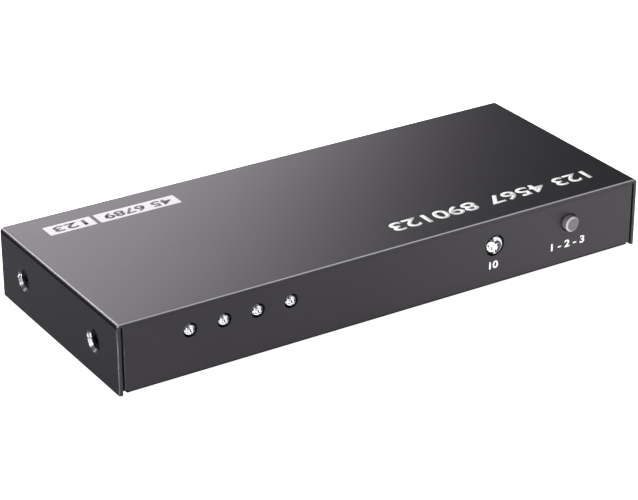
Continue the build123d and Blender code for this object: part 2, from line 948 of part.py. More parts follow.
def tact_switch_leg(x, y):
    """One contact leg, on the back of the switch and down through the board."""
    half = leg_size / 2
    return block(
        x - half, x + half, y - half, y + half, board_bottom_z - leg_tail, button_z - leg_size
    )


# Video sockets; each shape is built on X = 0 and moved along the rear panel


def socket_finger(side, ceiling):
    """A sprung finger in the shell's top or floor that dips into the opening near the mouth."""
    tip_y = socket_mouth_y - finger_mouth_gap
    knee_y = tip_y - finger_knee
    root_y = tip_y - finger_length
    if ceiling:
        face_z = socket_floor_z + socket_height
        outwards = 1
    else:
        face_z = socket_floor_z
        outwards = -1
    dip_z = face_z - outwards * finger_dip
    tip_z = dip_z + outwards * finger_curl
    rise = outwards * socket_sheet
    outline = Polyline(
        (root_y - finger_slot, face_z),
        (root_y, face_z),
        (knee_y, dip_z),
        (tip_y, tip_z),
        (tip_y, tip_z + rise),
        (knee_y, dip_z + rise),
        (root_y, face_z + rise),
        (root_y - finger_slot, face_z + rise),
        close=True,
    )
    x = side * finger_spread / 2 - finger_width / 2
    return Pos(x, 0, 0) * extrude(Plane.YZ * make_face(outline), amount=finger_width)


def finger_window(side, ceiling):
    """The slot that frees a sprung finger from the shell."""
    half = finger_width / 2 + finger_slot
    x = side * finger_spread / 2
    tip_y = socket_mouth_y - finger_mouth_gap
    low_z, high_z = socket_floor_z - overrun, socket_floor_z + overrun
    if ceiling:
        low_z, high_z = low_z + socket_height, high_z + socket_height
    return block(x - half, x + half, tip_y - finger_length, tip_y + finger_slot, low_z, high_z)


def socket_shell():
    """The drawn metal shell: flared mouth, four sprung fingers and four tabs into the board."""
    body_end = socket_mouth_y - socket_lip_depth
    shell = socket_prism(socket_sheet, socket_back_y, body_end)
    narrow = Pos(0, body_end, socket_floor_z) * (Plane.XZ * socket_face(socket_sheet))
    wide = Pos(0, socket_mouth_y, socket_floor_z) * (Plane.XZ * socket_face(socket_sheet + socket_lip))
    shell += loft([narrow, wide])
    narrow_inner = Pos(0, body_end, socket_floor_z) * (Plane.XZ * socket_face(0))
    wide_inner = Pos(0, socket_mouth_y, socket_floor_z) * (Plane.XZ * socket_face(socket_lip))
    shell -= socket_prism(0, socket_back_y - overrun, body_end)
    shell -= loft([narrow_inner, wide_inner])
    corners = [(side, ceiling) for side in (-1, 1) for ceiling in (True, False)]
    shell -= [finger_window(side, ceiling) for side, ceiling in corners]
    for side, ceiling in corners:
        shell += socket_finger(side, ceiling)
    middle_z = socket_floor_z + (socket_height + socket_corner_height) / 2
    for x_from, x_to, y_from, y_to in socket_tab_boxes():
        shell += block(x_from, x_to, y_from, y_to, board_bottom_z - tab_tail, middle_z)
    return shell


def contact_xs(upper):
    """Where the contacts of the upper or the lower row are."""
    count = upper_contact_count if upper else lower_contact_count
    return [(n - (count - 1) / 2) * contact_pitch for n in range(count)]


def contact_level(upper):
    """The low side of a contact strip of the upper or the lower row."""
    if upper:
        return tongue_z + tongue_thickness / 2
    return tongue_z - tongue_thickness / 2 - contact_thickness


def socket_tongue():
    """The moulded block at the back of the shell and the tongue that carries the contacts."""
    block_front_y = socket_back_y + tongue_block_depth
    body = socket_prism(-block_gap, socket_back_y, block_front_y)
    half = tongue_width / 2
    low_z = tongue_z - tongue_thickness / 2
    tongue = block(-half, half, block_front_y, tongue_tip_y, low_z, low_z + tongue_thickness)
    body += chamfer(tongue.faces().sort_by(Axis.Y)[-1].edges(), tongue_chamfer)
    for upper in (True, False):
        reach = max(contact_xs(upper)) + contact_width / 2 + contact_slot_gap
        low_z = contact_level(upper)
        high_z = low_z + contact_thickness
        if upper:
            high_z += contact_slot_gap
        else:
            low_z -= contact_slot_gap
        body -= block(-reach, reach, socket_back_y - overrun, block_front_y + overrun, low_z, high_z)
    return body


def socket_contact(upper):
    """One contact: along the tongue, through the block and down to the board."""
    z = contact_level(upper)
    top = z + contact_thickness
    tip_y = tongue_tip_y - contact_setback
    bend_y = socket_back_y - contact_tail_run
    outline = Polyline(
        (tip_y, z),
        (tip_y, top),
        (bend_y - contact_thickness, top),
        (bend_y - contact_thickness, board_top_z),
        (bend_y, board_top_z),
        (bend_y, z),
        close=True,
    )
    return extrude(Plane.YZ * make_face(outline), amount=contact_width / 2, both=True)


def socket_contacts():
    """All nineteen contacts of one socket."""
    return [Pos(x, 0, 0) * socket_contact(upper) for upper in (True, False) for x in contact_xs(upper)]


# Power jack


def jack_leaf_room():
    """The side slot of the jack's housing that the leaf spring lies in."""
    half = jack_leaf_width / 2 + jack_leaf_slot
    outer_x = jack_x - jack_width / 2
    return block(
        outer_x - overrun, jack_x, jack_back_y - overrun, jack_nose_y - jack_leaf_setback + jack_leaf_slot,
        jack_z - half, jack_z + half,
    )


def power_jack_housing():
    """The moulded housing: a round nose in the panel's hole, the bore and the leaf's slot."""
    half = jack_width / 2
    body = block(
        jack_x - half, jack_x + half, jack_back_y, jack_face_y, board_top_z, board_top_z + jack_height
    )
    body += bar_y(shown_sides, jack_x, jack_z, jack_face_y, jack_nose_y, jack_nose_diameter)
    radius = jack_bore_diameter / 2
    bore = turned(
        shown_sides,
        (0, -jack_bore_depth),
        (radius, -jack_bore_depth),
        (radius, -jack_mouth_chamfer),
        (radius + jack_mouth_chamfer + overrun, overrun),
        (0, overrun),
    )
    body -= facing_rear(bore, jack_x, jack_nose_y, jack_z)
    pin_hole = jack_pin_diameter + 2 * press_gap
    start, end = jack_back_y - overrun, jack_bore_floor_y + overrun
    body -= bar_y(hidden_sides, jack_x, jack_z, start, end, pin_hole)
    room = jack_leaf_room()
    wall = block(
        jack_x - half, jack_x - radius + jack_leaf_bow, jack_bore_floor_y, jack_face_y,
        board_top_z, board_top_z + jack_height,
    )
    side_slot = jack_leaf_thickness + jack_leaf_slot
    path = block(
        jack_x - half - overrun, jack_x - half + side_slot, jack_back_y - overrun, jack_face_y,
        board_top_z, board_top_z + jack_height,
    )
    return body - (room & (wall + path))


def power_jack_pin():
    """The centre pin with a bevelled tip, riveted to a flat plate that reaches into the board."""
    radius = jack_pin_diameter / 2
    tip = jack_nose_y - jack_pin_setback - jack_back_y
    bevel = jack_pin_tip_chamfer
    outline = ((0, 0), (radius, 0), (radius, tip - bevel), (radius - bevel, tip), (0, tip))
    pin = turned(hidden_sides, *outline)
    x_from, x_to, y_from, y_to = jack_tab_reaches()[0]
    plate = block(x_from, x_to, y_from, y_to, board_bottom_z - leg_tail, jack_z + radius)
    return facing_rear(pin, jack_x, jack_back_y, jack_z) + plate


def power_jack_leaf():
    """The side spring that bears on the plug, and its tab into the board."""
    outer_x = jack_x - jack_width / 2
    bore_x = jack_x - jack_bore_diameter / 2
    thick = jack_leaf_thickness
    x_from, x_to, y_from, y_to = jack_tab_reaches()[1]
    tip_y = jack_nose_y - jack_leaf_setback
    knee_y = (tip_y + jack_bore_floor_y) / 2
    start_x = outer_x + thick
    outline = Polyline(
        (outer_x, y_from),
        (outer_x, jack_bore_floor_y),
        (bore_x + jack_leaf_bow - thick, knee_y),
        (bore_x - thick, tip_y),
        (bore_x, tip_y),
        (bore_x + jack_leaf_bow, knee_y),
        (start_x, jack_bore_floor_y),
        (start_x, y_from),
        close=True,
    )
    half = jack_leaf_width / 2
    leaf = Pos(0, 0, jack_z - half) * extrude(make_face(outline), amount=jack_leaf_width)
    tab = block(x_from, x_to, y_from, y_to, board_bottom_z - leg_tail, jack_z + half)
    return leaf + tab


def save(name, *shapes):
    """Write one sub-part, made of one solid or of a group of separate solids."""
    solids = [solid for shape in shapes for solid in shape.solids()]
    shape = solids[0] if len(solids) == 1 else Compound(solids)
    export_step(shape, f"parts/{name}.step")
    print(name, len(solids))


def save_case():
    """The case, its feet and its screws."""
    save("top_cover", top_cover())
    save("base_tray", base_tray())
    save("cover_screws", *on_both_ends(cover_screw()))
    foot_xs = (left_x + foot_inset_x, right_x - foot_inset_x)
    foot_ys = (front_y + foot_inset_y, rear_y - foot_inset_y)
    save("rubber_feet", *[Pos(x, y, base_z) * rubber_foot() for x in foot_xs for y in foot_ys])


def save_board():
    """The board, what carries it and what is soldered on it."""
    save("board_standoffs", *[Pos(x, y, floor_z) * board_standoff() for x, y in board_screw_places])
    save("board_screws", *[Pos(x, y, board_top_z) * board_screw() for x, y in board_screw_places])
    save("circuit_board", circuit_board())
    chip = flat_chip(switch_chip_size, switch_chip_size, switch_chip_thickness)
    save("switch_chip", on_board(switch_chip_place_shares) * chip)
    save("microcontroller", microcontroller())
    save("microcontroller_legs", *microcontroller_legs())
    save("voltage_regulator", voltage_regulator())
    save("voltage_regulator_legs", *voltage_regulator_legs())
    save("power_inductor", power_inductor())
    save("electrolytic_capacitors", *[on_board(shares) * electrolytic_can() for shares in can_places_shares])
    save("crystal", crystal())
    save("ceramic_capacitors", *[chip_capacitor(shares) for shares in chip_capacitor_places_shares])


def save_front():
    """The lamps, the infrared eye, the button and its switch."""
    for name, x in zip(lamp_names, lamp_xs):
        save(name, lamp(x))
    lamp_legs = [bent_leg(x, lamp_z, lamp_base_y, lamp_leg_run) for x, y in lamp_leg_places()]
    save("lamp_legs", *lamp_legs)
    save("infrared_eye", infrared_eye())
    save("infrared_receiver", infrared_receiver())
    places = receiver_leg_places()
    save("receiver_legs", *[bent_leg(x, eye_z, receiver_back_y, receiver_leg_run) for x, y in places])
    save("button_cap", button_cap())
    save("switch_stem", switch_stem())
    save("tact_switch_body", tact_switch_body())
    save("tact_switch_plate", tact_switch_plate())
    save("tact_switch_dome", tact_switch_dome())
    save("tact_switch_legs", *[tact_switch_leg(x, y) for x, y in switch_leg_places()])


def save_rear():
    """The four video sockets and the power jack."""
    shell = socket_shell()
    tongue = socket_tongue()
    contacts = socket_contacts()
    for name, x in zip(socket_names, socket_xs):
        save(f"{name}_shell", Pos(x, 0, 0) * shell)
        save(f"{name}_tongue", Pos(x, 0, 0) * tongue)
        save(f"{name}_contacts", *[Pos(x, 0, 0) * contact for contact in contacts])
    save("power_jack_housing", power_jack_housing())
    save("power_jack_pin", power_jack_pin())
    save("power_jack_leaf", power_jack_leaf())


save_case()
save_board()
save_front()
save_rear()
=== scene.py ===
# %% [markdown]
# # A video switch box in a folded steel case
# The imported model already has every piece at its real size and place. This lesson adds what the
# eye needs: the finish of each surface, the white print, what shows inside the clear lamps, and a
# studio round the box. Everything is in metres, in the frame of the model, so a piece goes where
# the model says.

import json
import math

import bmesh
import bpy
from mathutils import Matrix, Vector


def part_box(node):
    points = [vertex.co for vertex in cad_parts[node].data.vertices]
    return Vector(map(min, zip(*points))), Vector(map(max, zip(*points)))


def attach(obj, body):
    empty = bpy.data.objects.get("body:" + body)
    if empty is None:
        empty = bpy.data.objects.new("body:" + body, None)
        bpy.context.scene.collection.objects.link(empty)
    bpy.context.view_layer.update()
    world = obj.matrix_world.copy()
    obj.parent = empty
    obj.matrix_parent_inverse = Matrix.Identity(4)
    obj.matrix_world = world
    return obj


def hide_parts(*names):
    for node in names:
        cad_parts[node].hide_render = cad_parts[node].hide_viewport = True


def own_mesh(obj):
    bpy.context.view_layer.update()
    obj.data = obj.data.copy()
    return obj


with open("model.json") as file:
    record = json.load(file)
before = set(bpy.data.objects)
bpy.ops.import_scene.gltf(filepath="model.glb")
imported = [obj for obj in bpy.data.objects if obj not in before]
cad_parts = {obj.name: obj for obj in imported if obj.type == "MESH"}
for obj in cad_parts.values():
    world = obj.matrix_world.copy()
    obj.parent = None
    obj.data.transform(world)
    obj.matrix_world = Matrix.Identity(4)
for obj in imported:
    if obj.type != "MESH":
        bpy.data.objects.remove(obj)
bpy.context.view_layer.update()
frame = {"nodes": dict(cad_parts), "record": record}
NODES = frame["nodes"]
SLOT_OF = {part["node"]: part["material_slot"] for part in frame["record"]["subparts"]}
MM = 0.001

# %% [markdown]
# The photograph was taken with a long lens, from the front left and above. Its lens and its place
# were worked out from the corners of the case, so a camera there lines up with it. The turn and
# the rise say from which side the camera looks at the box, and the roll how far it leans.

# %% Camera
CAMERA_TURN = math.radians(-32.23)
CAMERA_RISE = math.radians(26.0)
CAMERA_ROLL = math.radians(-0.08)
CAMERA_PLACE = Vector((-299.4, -471.1, 279.4)) * MM
LENS_MM = 134.56
SENSOR_MM = 36.0

backwards = Vector(
    (
        math.sin(CAMERA_TURN) * math.cos(CAMERA_RISE),
        -math.cos(CAMERA_TURN) * math.cos(CAMERA_RISE),
        math.sin(CAMERA_RISE),
    )
)
rightwards = Vector((math.cos(CAMERA_TURN), math.sin(CAMERA_TURN), 0))
upwards = backwards.cross(rightwards)
camera_data = bpy.data.cameras.new("camera")
camera_data.sensor_fit = "HORIZONTAL"
camera_data.sensor_width = SENSOR_MM
camera_data.lens = LENS_MM
camera = bpy.data.objects.new("camera", camera_data)
axes = Matrix((rightwards, upwards, backwards)).transposed() @ Matrix.Rotation(CAMERA_ROLL, 3, "Z")
camera.matrix_world = Matrix.Translation(CAMERA_PLACE) @ axes.to_4x4()
bpy.context.scene.collection.objects.link(camera)
bpy.context.scene.camera = camera
print("camera at", [round(value, 3) for value in camera.location], "lens", LENS_MM)

# %% [markdown]
# Colours are easier to judge as the hex values that a picture editor shows. Shaders work in
# linear light, so one function turns a hex value into that. A second function adds one node to a
# material: its fields are settings, and each input gets a plain value or a link from another
# node. An input is named, or numbered where a node has two of one name, as the Mix node has.

# %% Helpers for materials


def linear(hex_colour):
    """An sRGB hex colour such as #3A393C as linear red, green, blue and alpha."""
    channels = [int(hex_colour[start : start + 2], 16) / 255 for start in (1, 3, 5)]
    curve = [c / 12.92 if c <= 0.04045 else ((c + 0.055) / 1.055) ** 2.4 for c in channels]
    return (*curve, 1.0)


def add(tree, kind, inputs=None, **fields):
    """Adds one node: fields are its settings, and inputs hold values or output sockets."""
    made = tree.nodes.new(kind)
    for name, value in fields.items():
        setattr(made, name, value)
    for name, value in (inputs or {}).items():
        if isinstance(value, bpy.types.NodeSocket):
            tree.links.new(value, made.inputs[name])
        else:
            made.inputs[name].default_value = value
    return made


def blank(name):
    """A material with an empty node tree, its tree, and each piece's own coordinates."""
    made = bpy.data.materials.new(name)
    made.use_nodes = True
    made.node_tree.nodes.clear()
    return made, made.node_tree, add(made.node_tree, "ShaderNodeTexCoord").outputs["Object"]


def shade(made, tree, skin):
    """Ends a material in a Principled shader with these inputs."""
    shader = add(tree, "ShaderNodeBsdfPrincipled", skin)
    add(tree, "ShaderNodeOutputMaterial", {"Surface": shader.outputs[0]})
    return made


def dress(made, *chosen):
    """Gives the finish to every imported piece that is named, or whose material slot is."""
    dressed = [name for name in NODES if name in chosen or SLOT_OF[name] in chosen]
    for name in dressed:
        for place in NODES[name].material_slots:
            place.material = made
    print(made.name, "on", len(dressed), "pieces")


print("#808080 in linear light:", round(linear("#808080")[0], 3))

# %% [markdown]
# Some nodes come back in nearly every finish, so each has a short function: sums on numbers and
# on vectors, a value brought from one range to another, a soft random pattern of a real size, a
# mix of two colours or two numbers, the relief that a pattern gives, and edges that look round.

# %% Helpers for single nodes


def math_node(tree, operation, first, second=0.0):
    """One sum on one or two numbers."""
    return add(tree, "ShaderNodeMath", {0: first, 1: second}, operation=operation).outputs[0]


def vector_node(tree, operation, first, second=(0.0, 0.0, 0.0)):
    """One sum on one or two vectors: output 0 is a vector, and Value is a number."""
    inputs = {0: first, 1: second}
    return add(tree, "ShaderNodeVectorMath", inputs, operation=operation).outputs


def axes_of(tree, vector):
    """The x, y and z of a vector."""
    return add(tree, "ShaderNodeSeparateXYZ", {0: vector}).outputs


def ramp(tree, value, start, end, low=0.0, high=1.0, **fields):
    """A value brought from start and end to low and high, and held there beyond them."""
    span = {"Value": value, "From Min": start, "From Max": end, "To Min": low, "To Max": high}
    return add(tree, "ShaderNodeMapRange", span, **fields).outputs["Result"]


def per_mm(spacing):
    """The texture scale, in patterns per metre, of a pattern that repeats every spacing mm."""
    return 1.0 / (spacing * MM)


def noise_of(tree, where, spacing_mm, detail, roughness=0.5):
    """A soft random pattern from 0 to 1, with features a spacing apart."""
    grain = {"Vector": where, "Scale": per_mm(spacing_mm), "Detail": detail, "Roughness": roughness}
    return add(tree, "ShaderNodeTexNoise", grain).outputs["Fac"]


def colour_between(tree, share, low, high):
    """A colour between two, each a hex value or the output of a node."""
    ends = [linear(end) if isinstance(end, str) else end for end in (low, high)]
    shades = {0: share, 6: ends[0], 7: ends[1]}
    return add(tree, "ShaderNodeMix", shades, data_type="RGBA").outputs[2]


def number_between(tree, share, low, high):
    """A number between two, each a value or the output of a node."""
    return add(tree, "ShaderNodeMix", {0: share, 2: low, 3: high}, data_type="FLOAT").outputs[0]


def true_normal(tree):
    """The direction that a flat face really looks in."""
    return add(tree, "ShaderNodeNewGeometry").outputs["True Normal"]


def soft_edge(tree, radius_mm, samples):
    """The normal of a surface whose edges look rounded by a radius."""
    return add(tree, "ShaderNodeBevel", {"Radius": radius_mm * MM}, samples=samples).outputs[0]


def relief(tree, height, strength, distance_mm, normal=None):
    """The normal of a surface that a pattern raises by a distance."""
    inputs = {"Height": height, "Strength": strength, "Distance": distance_mm * MM}
    if normal is not None:
        inputs["Normal"] = normal
    return add(tree, "ShaderNodeBump", inputs).outputs["Normal"]


print("a pattern every 0.6 mm has scale", round(per_mm(0.6)))

# %% [markdown]
# The case is folded sheet, and its coat differs where the sheet slopes, at a bend, a dimple or a
# bevelled rim. The slope is how far the true normal is from all three axes. The dimples are
# packed with flat sides, so their normal is worked out anew: it leans halfway from the wall's own
# direction towards the axis of the screw. A line of painted shade in the coat is a level band of a
# given height and half width, from a given place outwards. The rims that get a painted highlight
# are those along the front and the rear of the top where they face upwards, found by their distance
# from the cover's middle.

# %% Places on the case
SCREW_HEAD_MM = 5.0
DIMPLE_RADIUS_MM, DIMPLE_DEPTH_MM = 3.4, 3.0
RIM_MM = 0.3
COVER_LOW, COVER_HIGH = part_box("top_cover")
SCREWS_LOW, SCREWS_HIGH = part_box("cover_screws")
TRAY_LOW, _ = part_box("base_tray")
COVER_MIDDLE_Y = (COVER_HIGH.y + COVER_LOW.y) / 2
HALF_DEPTH = (COVER_HIGH.y - COVER_LOW.y) / 2
SCREW_SPREAD = (SCREWS_HIGH.y - SCREWS_LOW.y - SCREW_HEAD_MM * MM) / 2
SCREW_Z = (SCREWS_HIGH.z + SCREWS_LOW.z) / 2


def slope_of(tree):
    """0 on a face that looks along an axis, 1 on one that slopes by 30 degrees or more."""
    x, y, z = axes_of(tree, vector_node(tree, "ABSOLUTE", true_normal(tree))[0])
    largest = math_node(tree, "MAXIMUM", math_node(tree, "MAXIMUM", x, y), z)
    return ramp(tree, largest, 0.985, 0.87)


def dimple_normal(tree, where, slope):
    """The normal of a round countersink at each cover screw, and a mask of where it holds."""
    x, y, z = axes_of(tree, where)
    from_middle = math_node(tree, "SUBTRACT", y, COVER_MIDDLE_Y)
    screw_y = math_node(tree, "MULTIPLY", math_node(tree, "SIGN", from_middle), SCREW_SPREAD)
    aside = math_node(tree, "SUBTRACT", screw_y, from_middle)
    upward = math_node(tree, "SUBTRACT", SCREW_Z, z)
    inwards = add(tree, "ShaderNodeCombineXYZ", {"Y": aside, "Z": upward}).outputs[0]
    end = math_node(tree, "SIGN", x)
    outwards = add(tree, "ShaderNodeCombineXYZ", {"X": end}).outputs[0]
    lean = vector_node(tree, "ADD", outwards, vector_node(tree, "NORMALIZE", inwards)[0])[0]
    away = vector_node(tree, "LENGTH", inwards)["Value"]
    near = ramp(tree, away, (DIMPLE_RADIUS_MM + 0.05) * MM, (DIMPLE_RADIUS_MM - 0.05) * MM)
    deepest = COVER_HIGH.x - DIMPLE_DEPTH_MM * MM
    at_end = ramp(tree, math_node(tree, "ABSOLUTE", x), deepest, deepest + 0.1 * MM)
    mask = math_node(tree, "MULTIPLY", math_node(tree, "MULTIPLY", near, at_end), slope)
    return vector_node(tree, "NORMALIZE", lean)[0], mask


def dark_line(tree, where, level, half_mm, from_x):
    """1 along a thin level line of painted shade that lies further out than from_x, and 0
    elsewhere.
    """
    x, _, z = axes_of(tree, where)
    away = math_node(tree, "ABSOLUTE", math_node(tree, "SUBTRACT", level, z))
    line = ramp(tree, away, (half_mm + 0.07) * MM, (half_mm - 0.07) * MM)
    outer = ramp(tree, math_node(tree, "ABSOLUTE", x), from_x, from_x + 0.1 * MM)
    return math_node(tree, "MULTIPLY", line, outer)


def painted_rim_highlight(tree, where, slope, share):
    """The share of painted highlight on the rims along the front and the rear of the top."""
    from_middle = math_node(tree, "SUBTRACT", axes_of(tree, where)[1], COVER_MIDDLE_Y)
    reach = math_node(tree, "ABSOLUTE", from_middle)
    rim = ramp(tree, reach, HALF_DEPTH - RIM_MM * MM, HALF_DEPTH - 0.8 * RIM_MM * MM)
    upward = ramp(tree, axes_of(tree, true_normal(tree))[2], 0.1, 0.4, 0.0, share)
    return math_node(tree, "MULTIPLY", math_node(tree, "MULTIPLY", rim, slope), upward)


print("screws stand", round(SCREW_SPREAD / MM, 2), "mm each side of the cover's middle")

# %% [markdown]
# The coat is a satin polyester powder. It flows a little as it bakes, which leaves a fine orange
# peel, and it rounds every edge by a few tenths of a millimetre, so edges catch a thin line of
# light. The peel is really about 0.3 mm from crest to crest, and it is drawn at 0.6 mm so that it
# shows. Modelled fillets would need many small faces, so the round edges come from a Bevel node
# of the coat's own radius.
#
# On a slope the coat runs thin and smooth, and the rims along the top are painted paler as a
# highlight. The punch that forms the dimples burnishes the sheet, so they shine more. Under the
# bend at each end a thin line of painted shade darkens the coat and dulls its shine. A second line
# of painted shade runs along the lower edge of the tray, which turns away from all the light.

# %% Powder coat
PEEL_MM, CLOUD_MM = 0.6, 18.0
COAT_EDGE_MM = 0.25
POLYESTER_IOR, BURNISHED_IOR = 1.5, 2.5
COAT_GREY = ("#232225", "#262528")
RIM_HIGHLIGHT_GREY = "#8F8D90"
PAINTED_SHADE_BLACK = "#0C0C0D"
COOL_WHITE = "#FFFAFF"
SATIN_ROUGH, SLOPE_ROUGH = (0.38, 0.44), 0.26
COAT_SHINE, PAINTED_SHADE_SHINE = 0.5, 0.08
# Each line of painted shade: its height, its half width in mm and where it starts outwards.
UNDER_BEND = (COVER_HIGH.z - 0.95 * MM, 0.25, COVER_HIGH.x - 0.3 * MM)
LOW_EDGE = (TRAY_LOW.z + 0.1 * MM, 0.35, -1.0)


def powder_coat(name, highlight_share, line):
    """Satin powder coat with a painted highlight on the top's rims, burnished dimples and one line
    of painted shade.
    """
    made, tree, where = blank(name)
    peel = noise_of(tree, where, PEEL_MM, 2.0)
    slope = slope_of(tree)
    even = colour_between(tree, noise_of(tree, where, CLOUD_MM, 1.0), *COAT_GREY)
    # Painted highlight: the upward-facing rims of the top are painted a paler grey.
    highlight_mask = painted_rim_highlight(tree, where, slope, highlight_share)
    highlighted_coat = colour_between(tree, highlight_mask, even, RIM_HIGHLIGHT_GREY)
    # A thin line of painted shade: near-black colour and little shine.
    painted_shade = dark_line(tree, where, *line)
    cone, at_cone = dimple_normal(tree, where, slope)
    sides = {0: at_cone, 4: soft_edge(tree, COAT_EDGE_MM, 6), 5: cone}
    rounded = add(tree, "ShaderNodeMix", sides, data_type="VECTOR").outputs[1]
    satin = ramp(tree, peel, 0.0, 1.0, *SATIN_ROUGH)
    coat = {
        "Base Color": colour_between(tree, painted_shade, highlighted_coat, PAINTED_SHADE_BLACK),
        "Roughness": number_between(tree, slope, satin, SLOPE_ROUGH),
        "IOR": ramp(tree, at_cone, 0.0, 1.0, POLYESTER_IOR, BURNISHED_IOR),
        "Specular IOR Level": ramp(tree, painted_shade, 0.0, 1.0, COAT_SHINE, PAINTED_SHADE_SHINE),
        "Specular Tint": linear(COOL_WHITE),
        "Normal": relief(tree, peel, 0.12, 0.02, rounded),
    }
    return shade(made, tree, coat)


dress(powder_coat("satin_powder_coat_painted_rim_highlights", 1.0, UNDER_BEND), "top_cover")
dress(powder_coat("satin_powder_coat", 0.0, LOW_EDGE), "base_tray")

# %% [markdown]
# The metals differ in how they were made. Zinc plate on the standoffs and board screws is bright
# with a faint blue cast and a soft crystalline mottle. The cover screws are blackened steel, dark
# and a little oily. The socket shells are drawn, nickel-plated sheet with fine lines along the
# drawing direction, the contacts are gold over nickel, and the legs are dipped in tin, which sets
# slightly uneven. One function makes them all from two shades, a roughness range and a grain: the
# grain is stretched along one axis for drawn sheet, and even for plate.

# %% Metals
GRAIN_MM = 0.15
EVEN = (1.0, 1.0, 1.0)
ALONG_X, ALONG_Y, ALONG_Z = (0.06, 1.0, 1.0), (1.0, 0.06, 1.0), (1.0, 1.0, 0.06)
METALS = {
    "black_screw_steel": ("black_oxide_steel", "#3A3A3D", "#4E4E52", (0.28, 0.40)),
    "zinc_plated_steel": ("zinc_plated_steel_bright", "#A9AEB4", "#C3C8CE", (0.24, 0.36)),
    "socket_shell_steel": ("nickel_plated_sheet", "#B3ADA4", "#C9C3B9", (0.18, 0.30), ALONG_Y),
    "nickel_plated_steel": (
        "nickel_plated_spring_steel",
        "#B8B2A9",
        "#CCC6BC",
        (0.16, 0.26),
        ALONG_X,
    ),
    "gold_plated_contact": ("gold_over_nickel", "#D9B25F", "#E8C67A", (0.16, 0.26), ALONG_Y),
    "tinned_copper": ("tin_dipped_copper", "#BEBEBC", "#D3D3D0", (0.26, 0.42), EVEN, 0.008),
    "can_aluminium": ("etched_aluminium_can", "#B9BBBE", "#D0D2D4", (0.20, 0.32), ALONG_Z),
}


def metal(name, low, high, rough, stretch=EVEN, height_mm=0.003):
    """A metal whose colour and roughness wander between two values along its grain."""
    made, tree, where = blank(name)
    along = add(tree, "ShaderNodeMapping", {"Vector": where, "Scale": stretch}).outputs[0]
    grain = noise_of(tree, along, GRAIN_MM, 3.0)
    shine = {
        "Base Color": colour_between(tree, grain, low, high),
        "Metallic": 1.0,
        "Roughness": ramp(tree, grain, 0.0, 1.0, *rough),
        "Normal": relief(tree, grain, 0.3, height_mm),
    }
    return shade(made, tree, shine)


for slot, recipe in METALS.items():
    dress(metal(*recipe), slot)

# %% [markdown]
# The plastics, rubber and ceramics all scatter light from inside, and what tells them apart is
# how their skin was made. Moulded nylon and acetal take a fine spark-eroded grain from the mould,
# chip epoxy is matt, the foot rubber is nearly dull with a faint bloom, and fired ceramic and
# ferrite have a sintered grain. One function makes each from two shades, a roughness, an index of
# refraction and the size and depth of its grain.

# %% Moulded and fired surfaces
MOULD_EDGE_MM = 0.08
MOULDED = {
    "black_nylon": ("black_nylon_moulded", "#141415", "#1E1E20", 0.45, 1.53, 0.20, 0.006),
    "jack_plastic": ("black_pbt_jack", "#121213", "#1B1B1D", 0.38, 1.55, 0.20, 0.005),
    "socket_plastic": (
        "black_liquid_crystal_polymer",
        "#161617",
        "#222224",
        0.48,
        1.60,
        0.16,
        0.006,
    ),
    "moulded_epoxy": ("matt_chip_epoxy", "#1A1A1B", "#242425", 0.62, 1.55, 0.10, 0.005),
    "ferrite": ("sintered_ferrite", "#2B2A2B", "#3A3938", 0.66, 1.60, 0.14, 0.010),
    "capacitor_ceramic": ("fired_ceramic_tan", "#A58460", "#B99A75", 0.48, 1.60, 0.10, 0.004),
    "foot_rubber": ("foot_rubber_matt", "#101011", "#1A1A1B", 0.78, 1.52, 0.35, 0.020),
}


def moulded(name, low, high, rough, ior, grain_mm, depth_mm):
    """A plastic, rubber or ceramic with a fine grain that shades it and breaks its gloss."""
    made, tree, where = blank(name)
    grain = noise_of(tree, where, grain_mm, 4.0, 0.6)
    skin = {
        "Base Color": colour_between(tree, grain, low, high),
        "Roughness": ramp(tree, grain, 0.0, 1.0, rough - 0.05, rough + 0.05),
        "IOR": ior,
        "Normal": relief(tree, grain, 0.5, depth_mm, soft_edge(tree, MOULD_EDGE_MM, 4)),
    }
    return shade(made, tree, skin)


for slot, recipe in MOULDED.items():
    dress(moulded(*recipe), slot)

# %% [markdown]
# The button's cap is grey, and its bevelled rim is smoother and painted paler as a highlight. The
# rim is where the true normal lies between straight ahead and straight out to the side.

# %% Button cap
CAP_GREY = ("#626064", "#6C6A6E")
CAP_RIM_HIGHLIGHT_GREY = "#B0AEB2"
CAP_ROUGH, CAP_RIM_ROUGH = 0.42, 0.30
CAP_GRAIN_MM = 0.12
ABS_IOR = 1.54


def button_plastic():
    """Satin moulded plastic, smoother on the bevelled rim, which carries a painted highlight."""
    made, tree, where = blank("satin_abs_button")
    grain = noise_of(tree, where, CAP_GRAIN_MM, 4.0)
    ahead = axes_of(tree, vector_node(tree, "ABSOLUTE", true_normal(tree))[0])[1]
    rim = math_node(tree, "MULTIPLY", ramp(tree, ahead, 0.3, 0.5), ramp(tree, ahead, 0.95, 0.85))
    even = colour_between(tree, grain, *CAP_GREY)
    skin = {
        "Base Color": colour_between(tree, rim, even, CAP_RIM_HIGHLIGHT_GREY),
        "Roughness": number_between(tree, rim, CAP_ROUGH, CAP_RIM_ROUGH),
        "IOR": ABS_IOR,
        "Normal": relief(tree, grain, 0.5, 0.004, soft_edge(tree, MOULD_EDGE_MM, 4)),
    }
    return shade(made, tree, skin)


dress(button_plastic(), "button_plastic")

# %% [markdown]
# The circuit board is glass cloth and epoxy under a solder mask. The mask is a glossy lacquer,
# and the copper tracks under it stand up a little and shade it lighter. Real tracks run in
# parallel bundles, so a brick pattern with long thin bricks gives the runs and their steps. The
# tracks are 0.3 mm wide on a board like this.

# %% Circuit board
TRACK_MM = 0.3


